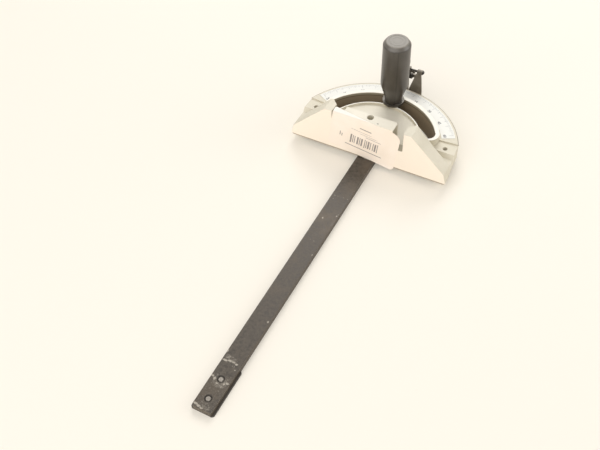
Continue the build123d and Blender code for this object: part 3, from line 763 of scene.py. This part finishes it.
bpy.ops.mesh.primitive_cube_add(size=1.0, location=(0, 0, 0))
ink_block = bpy.context.object
ink_block.name = "ink_block"
ticks = []
for degrees in range(-scale_end, scale_end + 1):
    kind = 10 if degrees % 10 == 0 else 5 if degrees % 5 == 0 else 1
    length, width = scale_tick_sizes[kind]
    place = on_scale(degrees, scale_tick_outer - length / 2)
    ticks.append(stamped(ink_block, width, length, ink_depth, place))
scale_ticks = joined_up(ticks, "scale_ticks", ink_finish)
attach(scale_ticks, "head")


# Paper label: a sticker set askew on the fence's face and across its two slots. Its top edge is
# folded back over the fence and has sprung up a little, and its lower right corner hangs below.
# The folded-back strip is painted paler than the front, as painted light on its upturned face.

label_dark = (0.950, 0.830, 0.710)
label_light = (0.985, 0.880, 0.775)
label_folded_lit = (0.985, 0.965, 0.905)
label_width = 0.0762
label_height = 0.0514
label_depth = 0.00016
label_tilt = math.radians(7.6)
label_middle = (-0.00328, 0.0338)
# Each corner: its side, its end, and how far it is rounded.
label_corners = [(1, 1, 0.0085), (1, -1, 0.0042), (-1, -1, 0.0015), (-1, 1, 0.0020)]
label_fold_turn = math.radians(62)
label_fold_strips = 6
label_fold_strip = 0.00018
label_fold_below = 0.0006
label_folded_reach = (-0.0081, -0.0075)
label_grid = 0.005
label_cuts_across = range(-9, 8)
label_cuts_up = range(1, 10)
label_loose_from = (0.0300, 0.0400)
label_loose_by = 0.0005
label_over_bar = 0.00022
label_tuck_turn = math.radians(86)
label_tuck_end = 0.0100
label_tuck_slack = 0.0001
label_hang_start = 0.0125
label_hang_slack = 0.0005
label_hang_crease = 0.0045
label_hang_turn = math.radians(16)
label_smooth_turn = math.radians(30)
fence_face = -0.0085
fence_top = 0.0581
fence_bottom = 0.0069
hair = 0.00001


def pick(piece, passes, kind="VERT"):
    """Edit mode, with only the points or faces of piece that pass selected."""
    bpy.context.view_layer.objects.active = piece
    bpy.ops.object.mode_set(mode="EDIT")
    bpy.ops.mesh.select_mode(type=kind)
    bpy.ops.mesh.select_all(action="DESELECT")
    bpy.ops.object.mode_set(mode="OBJECT")
    for part in piece.data.vertices if kind == "VERT" else piece.data.polygons:
        part.select = passes(part.co if kind == "VERT" else part.center)
    bpy.ops.object.mode_set(mode="EDIT")


def crease(piece, place, facing):
    """Cut a line across the whole piece, for a later fold."""
    pick(piece, lambda spot: True)
    bpy.ops.mesh.bisect(plane_co=place, plane_no=facing)
    bpy.ops.object.mode_set(mode="OBJECT")


def bent(turn, height):
    """Turn what is selected about a level line across the label's plane at this height."""
    bpy.ops.transform.rotate(
        value=turn, orient_axis="X", center_override=(0, label_centre[1], height)
    )


bpy.ops.object.select_all(action="DESELECT")
bpy.ops.mesh.primitive_plane_add(size=1.0, location=(0, 0, 0))
label_sheet = bpy.context.object
label_sheet.name = "label_sheet"
bpy.ops.object.mode_set(mode="EDIT")
bpy.ops.mesh.select_all(action="SELECT")
bpy.ops.transform.resize(value=(label_width, label_height, 1.0), center_override=(0, 0, 0))
side_line = label_width / 2 - hair
end_line = label_height / 2 - hair
for side, end, corner_round in label_corners:
    pick(label_sheet, lambda spot: spot.x * side > side_line and spot.y * end > end_line)
    bpy.ops.mesh.bevel(offset=corner_round, offset_type="OFFSET", segments=7, affect="VERTICES")
bpy.ops.mesh.select_all(action="SELECT")
bpy.ops.transform.rotate(value=-math.pi / 2, orient_axis="X", center_override=(0, 0, 0))
bpy.ops.transform.rotate(value=-label_tilt, orient_axis="Y", center_override=(0, 0, 0))
label_centre = (label_middle[0], fence_face - label_depth / 2 - 2 * hair, label_middle[1])
bpy.ops.transform.translate(value=label_centre)
bpy.ops.object.mode_set(mode="OBJECT")

fold_start = fence_top - label_fold_below
folds = [fold_start + step * label_fold_strip for step in range(label_fold_strips + 1)]
for height in [fence_bottom, *folds]:
    crease(label_sheet, (0, 0, height), (0, 0, 1))
for step in label_cuts_across:
    crease(label_sheet, (step * label_grid, 0, 0), (1, 0, 0))
for step in label_cuts_up:
    crease(label_sheet, (0, 0, fence_bottom + step * label_grid), (0, 0, 1))
for height in reversed(folds):
    pick(label_sheet, lambda spot: spot.z > height + hair)
    bent(label_fold_turn / len(folds), height)
pick(label_sheet, lambda spot: spot.x > label_loose_from[0] and spot.z > label_loose_from[1])
bpy.ops.transform.translate(value=(0, -label_loose_by, 0))
pick(label_sheet, lambda spot: spot.z < fence_bottom - hair, "FACE")
bpy.ops.mesh.separate(type="SELECTED")
bpy.ops.object.mode_set(mode="OBJECT")
label_corner = [piece for piece in bpy.context.selected_objects if piece != label_sheet][0]

over_bar = bar_top + label_over_bar
crease(label_corner, (0, 0, over_bar), (0, 0, 1))
crease(label_corner, (label_tuck_end, 0, 0), (1, 0, 0))
crease(label_corner, (label_hang_start, 0, 0), (1, 0, 0))
crease(label_corner, (0, 0, label_hang_crease), (0, 0, 1))
tuck_limit = label_tuck_end + label_tuck_slack
pick(label_corner, lambda spot: spot.z < over_bar - hair and spot.x < tuck_limit)
bent(label_tuck_turn, over_bar)
pick(label_corner, lambda spot: spot.x > label_hang_start - label_hang_slack)
bent(label_hang_turn, fence_bottom)
bpy.ops.object.mode_set(mode="OBJECT")

label_finish, tree, bsdf, coords, tone = grained(
    "label_paper", label_dark, label_light,
    coarse=60.0, fine=2600.0, gloss=(0.6, 0.75), metallic=0.0, relief=0.2, speck=0.05,
)
x, y, z = along(tree, coords)
# Painted light: the folded-back strip paler than the front.
folded_back_lit = spread(tree, y, *label_folded_reach)
coloured(tree, bsdf, laid_over(tree, folded_back_lit, tone, label_folded_lit))
for piece, name in ((label_sheet, "label_sheet"), (label_corner, "label_corner")):
    bpy.ops.object.select_all(action="DESELECT")
    piece.select_set(True)
    bpy.context.view_layer.objects.active = piece
    thicken = piece.modifiers.new("paper", "SOLIDIFY")
    thicken.thickness = label_depth
    thicken.offset = 0.0
    bpy.ops.object.modifier_apply(modifier=thicken.name)
    pick(piece, lambda spot: True)
    bpy.ops.mesh.normals_make_consistent(inside=False)
    bpy.ops.object.mode_set(mode="OBJECT")
    bpy.ops.object.shade_smooth_by_angle(angle=label_smooth_turn)
    joined_up([piece], name, label_finish)
    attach(piece, "head")
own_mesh(label_corner)


# Label print: plain bars and rules of thin grey ink, printed on the sticker's face. They are
# turned with the sticker, stand a hair above its paper, and have faded a little.

print_dark = (0.20, 0.175, 0.165)
print_light = (0.33, 0.29, 0.27)
print_faded = (0.62, 0.54, 0.48)
print_front = label_centre[1] - label_depth / 2 - ink_depth
print_bars_middle = (-0.0023, 0.0278)
print_bars_width = 0.0325
print_bars_height = 0.0108
print_bars_tall = (0, 6, 12)
print_bars_taller = 1.12
print_bars_inked = 0.9
# Each bar's width and the gap after it, in equal steps.
print_bars_rhythm = [
    (2, 1), (1, 1), (1, 2), (2, 1), (1, 1), (2, 2), (1, 1),
    (1, 1), (2, 1), (1, 2), (1, 1), (2, 1), (1, 1),
]
# Each rule: place x and z, width and height.
print_rules = [
    (-0.0011, 0.0464, 0.0130, 0.0010),
    (-0.0060, 0.0423, 0.0230, 0.0003),
    (0.0025, 0.0386, 0.0200, 0.0003),
    (0.0078, 0.0357, 0.0170, 0.0005),
    (-0.0035, 0.0178, 0.0420, 0.0009),
    (-0.0298, 0.0324, 0.0009, 0.0056),
    (-0.0278, 0.0309, 0.0009, 0.0042),
]

print_finish, tree, bsdf, coords, tone = grained(
    "print_ink", print_dark, print_light,
    coarse=700.0, fine=3200.0, gloss=(0.6, 0.7), metallic=0.0, relief=0.1,
)
faded = chips(tree, coords, grain=1100.0, amount=0.3)
coloured(tree, bsdf, laid_over(tree, faded, tone, print_faded))


def ink_strip(x_place, z_place, width, height):
    """One strip of ink on the label's front, turned with the label."""
    place = Matrix.Translation((x_place, print_front, z_place))
    place = place @ Matrix.Rotation(label_tilt, 4, "Y")
    return stamped(ink_block, width, ink_depth, height, place)


ink_strips = [ink_strip(*rule) for rule in print_rules]
print_bar_step = print_bars_width / sum(ink + gap for ink, gap in print_bars_rhythm)
edge_place = -print_bars_width / 2
for count, (ink, gap) in enumerate(print_bars_rhythm):
    middle = edge_place + ink * print_bar_step / 2
    tall = print_bars_height * (print_bars_taller if count in print_bars_tall else 1.0)
    x_place = print_bars_middle[0] + middle * math.cos(label_tilt)
    z_place = print_bars_middle[1] - middle * math.sin(label_tilt)
    wide = ink * print_bar_step * print_bars_inked
    ink_strips.append(ink_strip(x_place, z_place, wide, tall))
    edge_place += (ink + gap) * print_bar_step
bpy.data.objects.remove(ink_block)
label_print = joined_up(ink_strips, "label_print", print_finish)
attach(label_print, "head")


# Pivot pin and its washer, and the handle's insert: turned steel, bright under a little oil.
# The pin is pressed into the bar, the washer lies under the head, and the insert is moulded
# into the handle.

steel_dark = (0.36, 0.34, 0.29)
steel_light = (0.47, 0.44, 0.38)

steel_finish, tree, bsdf, coords, tone = grained(
    "turned_steel", steel_dark, steel_light,
    coarse=260.0, fine=2600.0, gloss=(0.32, 0.46), metallic=0.85, relief=0.3,
)
for node in ("pivot_pin", "pivot_washer", "handle_insert"):
    paint(node, steel_finish)


# Clamp stud and washer: the stud is threaded steel, screwed into the bar, and stands up through
# the arc slot. The washer under the handle is blackened steel, rubbed at its upper edge.

stud_dark = (0.24, 0.22, 0.19)
stud_light = (0.34, 0.31, 0.27)
stud_thread_shade = (0.08, 0.07, 0.06)
thread_pitch = 0.00125
thread_depth = 0.0006
thread_relief = 0.9
washer_dark = (0.045, 0.038, 0.030)
washer_light = (0.075, 0.065, 0.052)
washer_rubbed = (0.30, 0.28, 0.24)
washer_edge_heights = (0.0346, 0.0349)

thread_finish, tree, bsdf, coords, tone = grained(
    "threaded_steel", stud_dark, stud_light,
    coarse=260.0, fine=2200.0, gloss=(0.35, 0.5), metallic=0.8, relief=0.3,
)
turns = tree.nodes.new("ShaderNodeTexWave")
turns.wave_type = "BANDS"
turns.bands_direction = "Z"
turns.wave_profile = "TRI"
turns.inputs["Scale"].default_value = math.tau / 20.0 / thread_pitch
tree.links.new(coords, turns.inputs["Vector"])
thread_bump = tree.nodes.new("ShaderNodeBump")
thread_bump.inputs["Strength"].default_value = thread_relief
thread_bump.inputs["Distance"].default_value = thread_depth
tree.links.new(turns.outputs["Fac"], thread_bump.inputs["Height"])
tree.links.new(thread_bump.outputs["Normal"], bsdf.inputs["Normal"])
# Painted shade: the thread's grooves painted dark, along with the bump that cuts them.
coloured(tree, bsdf, laid_over(tree, turns.outputs["Fac"], stud_thread_shade, tone))
paint("clamp_stud", thread_finish)

washer_finish, tree, bsdf, coords, tone = grained(
    "black_washer", washer_dark, washer_light,
    coarse=300.0, fine=2000.0, gloss=(0.28, 0.42), metallic=0.4, relief=0.2,
)
x, y, z = along(tree, coords)
upper_edge = spread(tree, z, *washer_edge_heights)
worn_edge = all_of(tree, upper_edge, chips(tree, coords, grain=900.0, amount=0.45))
coloured(tree, bsdf, laid_over(tree, worn_edge, tone, washer_rubbed))
paint("clamp_washer", washer_finish)


# Clamp handle: glossy black moulded plastic, tapered at the neck and bevelled at the top. Its top
# has shallow rings, a mould seam runs down its side, and the gate left a small nub on its rim.
# Its satin top and its bevel are painted grey as painted light, and the seam and a line under the
# bevel are painted dark as painted shade.

handle_dark = (0.036, 0.030, 0.023)
handle_light = (0.054, 0.045, 0.035)
handle_shade = (0.018, 0.015, 0.012)
handle_bevel_lit = (0.115, 0.102, 0.084)
handle_top_lit = (0.200, 0.180, 0.148)
handle_specular = 0.80
handle_roughness = 0.32
handle_top_rougher = 0.10
handle_axis = (0.0, 0.0604)
# The handle's outline, from the insert's top round the foot, up the side and over the top.
# Each ring: its radius and its height.
handle_rings = [
    (0.00602, 0.06255),
    (0.00602, 0.03505),
    (0.00870, 0.03505),
    (0.00905, 0.03520),
    (0.00920, 0.03560),
    (0.00920, 0.03900),
    (0.00990, 0.04130),
    (0.01160, 0.04680),
    (0.01335, 0.05230),
    (0.01420, 0.05510),
    (0.01462, 0.05710),
    (0.01476, 0.05930),
    (0.01478, 0.06300),
    (0.01441, 0.10640),
    (0.01438, 0.10730),
    (0.01424, 0.10775),
    (0.01396, 0.10815),
    (0.01212, 0.11085),
    (0.01185, 0.11120),
    (0.01150, 0.11148),
    (0.01105, 0.11165),
    (0.01070, 0.11168),
    (0.00900, 0.11168),
    (0.00880, 0.11160),
    (0.00865, 0.11134),
    (0.00760, 0.11132),
    (0.00745, 0.11150),
    (0.00560, 0.11150),
    (0.00545, 0.11132),
    (0.00430, 0.11130),
    (0.00415, 0.11142),
    (0.00150, 0.11144),
]
handle_facets = 96
handle_smooth_turn = math.radians(28)
handle_bevel_heights = (0.1080, 0.1087)
handle_bevel_share = 0.65
handle_top_heights = (0.1108, 0.1113)
# The painted shade line under the bevel: middle, reach and strength.
handle_bevel_shade_line = ((*handle_axis, 0.1073), (0.03, 0.03, 0.0005), 0.6)
seam_turn = math.radians(29.0)
seam_top = 0.1078
seam_reach = (0.0009, 0.0002)
seam_share = 0.6
nub_radius = 0.0010
nub_stretch = (1.0, 0.42, 0.8)
nub_turn = math.radians(18.0)
nub_lean = math.radians(-38)
nub_height = 0.1083
nub_out = 0.01392


def turned(name, axis, rings, facets):
    """A closed turned shape: a circle extruded ring by ring, then both ends drawn to a point."""
    first_radius, first_height = rings[0]
    bpy.ops.object.select_all(action="DESELECT")
    bpy.ops.mesh.primitive_circle_add(
        vertices=facets, radius=first_radius, location=(*axis, first_height)
    )
    bpy.ops.object.transform_apply(location=True, rotation=False, scale=False)
    piece = bpy.context.object
    piece.name = name
    bpy.ops.object.mode_set(mode="EDIT")
    bpy.ops.mesh.select_all(action="SELECT")
    for (old_radius, old_height), (radius, height) in zip(rings, rings[1:]):
        rise = {"value": (0, 0, height - old_height)}
        bpy.ops.mesh.extrude_region_move(TRANSFORM_OT_translate=rise)
        share = radius / old_radius
        bpy.ops.transform.resize(value=(share, share, 1.0), center_override=(*axis, height))
    for radius, height in (rings[-1], rings[0]):
        reach = radius + hair
        pick(piece, lambda spot: abs(spot.z - height) < 1e-6 and math.dist(spot.xy, axis) < reach)
        bpy.ops.mesh.extrude_region_move(TRANSFORM_OT_translate={"value": (0, 0, 0)})
        bpy.ops.mesh.merge(type="CENTER")
    bpy.ops.mesh.select_all(action="SELECT")
    bpy.ops.mesh.normals_make_consistent(inside=False)
    bpy.ops.object.mode_set(mode="OBJECT")
    return piece


def put_in_order(piece):
    """List a piece's points and faces by place, because edit mode leaves them in any order."""
    mesh = piece.data
    order = sorted(range(len(mesh.vertices)), key=lambda old: mesh.vertices[old].co[:])
    place_of = {old: new for new, old in enumerate(order)}
    points = [mesh.vertices[old].co[:] for old in order]
    faces = sorted([place_of[corner] for corner in face.vertices] for face in mesh.polygons)
    mesh.clear_geometry()
    mesh.from_pydata(points, [], faces)


handle_shell = turned("handle_shell", handle_axis, handle_rings, handle_facets)
put_in_order(handle_shell)
bpy.ops.object.shade_smooth_by_angle(angle=handle_smooth_turn)

bpy.ops.object.select_all(action="DESELECT")
bpy.ops.mesh.primitive_uv_sphere_add(
    segments=16, ring_count=8, radius=nub_radius, location=(0, 0, 0)
)
gate_nub = bpy.context.object
bpy.ops.object.mode_set(mode="EDIT")
bpy.ops.mesh.select_all(action="SELECT")
bpy.ops.transform.resize(value=nub_stretch, center_override=(0, 0, 0))
bpy.ops.object.mode_set(mode="OBJECT")
put_in_order(gate_nub)
bpy.ops.object.shade_smooth()
nub_place = Matrix.Translation((*handle_axis, nub_height)) @ Matrix.Rotation(nub_turn, 4, "Z")
nub_place = nub_place @ Matrix.Translation((0, -nub_out, 0))
gate_nub.data.transform(nub_place @ Matrix.Rotation(nub_lean, 4, "X"))

handle_finish, tree, bsdf, coords, tone = grained(
    "handle_plastic", handle_dark, handle_light,
    coarse=80.0, fine=1600.0, gloss=(0.30, 0.38), metallic=0.0, relief=0.10, speck=0.1,
)
bsdf.inputs["Specular IOR Level"].default_value = handle_specular
x, y, z = along(tree, coords)
# Painted shade: the mould seam drawn as a dark line down the side.
to_axis = maths(tree, "SUBTRACT", y, handle_axis[1])
to_axis = maths(tree, "MULTIPLY", to_axis, math.sin(seam_turn))
off_seam = maths(tree, "MULTIPLY_ADD", x, math.cos(seam_turn), to_axis)
on_seam = spread(tree, maths(tree, "ABSOLUTE", off_seam), *seam_reach)
below_bevel = maths(tree, "LESS_THAN", z, seam_top)
seam_shade_line = maths(tree, "MULTIPLY", all_of(tree, on_seam, below_bevel), seam_share)
bevel_shade_line = marks(tree, coords, [handle_bevel_shade_line])
# Painted light: the bevel and the top painted grey; the top is rougher as well.
on_bevel_lit = spread(tree, z, *handle_bevel_heights, 0.0, handle_bevel_share)
on_top = spread(tree, z, *handle_top_heights)
tone = layered(
    tree,
    tone,
    (maths(tree, "MAXIMUM", seam_shade_line, bevel_shade_line), handle_shade),
    (on_bevel_lit, handle_bevel_lit),
    (on_top, handle_top_lit),
)
coloured(tree, bsdf, tone)
roughness = maths(tree, "MULTIPLY_ADD", on_top, handle_top_rougher, handle_roughness)
tree.links.new(roughness, bsdf.inputs["Roughness"])
handle_shell = joined_up([handle_shell, gate_nub], "handle_shell", handle_finish)
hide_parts("clamp_handle")
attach(handle_shell, "handle")


# Bracket, lever and pointer: pressed steel sheet with black paint, thin and rubbed in small
# patches.
# The screws, nut, pin and clips that hold them are black too.

sheet_dark = (0.155, 0.134, 0.105)
sheet_light = (0.225, 0.198, 0.158)
sheet_rubbed = (0.36, 0.33, 0.27)
sheet_specular = 0.85
small_dark = (0.035, 0.030, 0.025)
small_light = (0.065, 0.057, 0.048)
small_rubbed = (0.25, 0.23, 0.20)

sheet_finish, tree, bsdf, coords, tone = grained(
    "black_sheet", sheet_dark, sheet_light,
    coarse=160.0, fine=1500.0, gloss=(0.34, 0.48), metallic=0.35, relief=0.35,
)
bsdf.inputs["Specular IOR Level"].default_value = sheet_specular
tone = flaked(tree, coords, tone, sheet_rubbed, grain=520.0, amount=0.12, share=0.6)
coloured(tree, bsdf, tone)
for node in ("stop_bracket", "stop_lever", "pointer"):
    paint(node, sheet_finish)

small_finish, tree, bsdf, coords, tone = grained(
    "black_hardware", small_dark, small_light,
    coarse=500.0, fine=2600.0, gloss=(0.32, 0.46), metallic=0.45, relief=0.25,
)
tone = flaked(tree, coords, tone, small_rubbed, grain=800.0, amount=0.15, share=0.6)
coloured(tree, bsdf, tone)
for node in (
    "bracket_screw_left",
    "bracket_screw_right",
    "stop_pin",
    "pin_clip_left",
    "pin_clip_right",
    "stop_screw",
    "stop_nut",
    "pointer_screw",
):
    paint(node, small_finish)
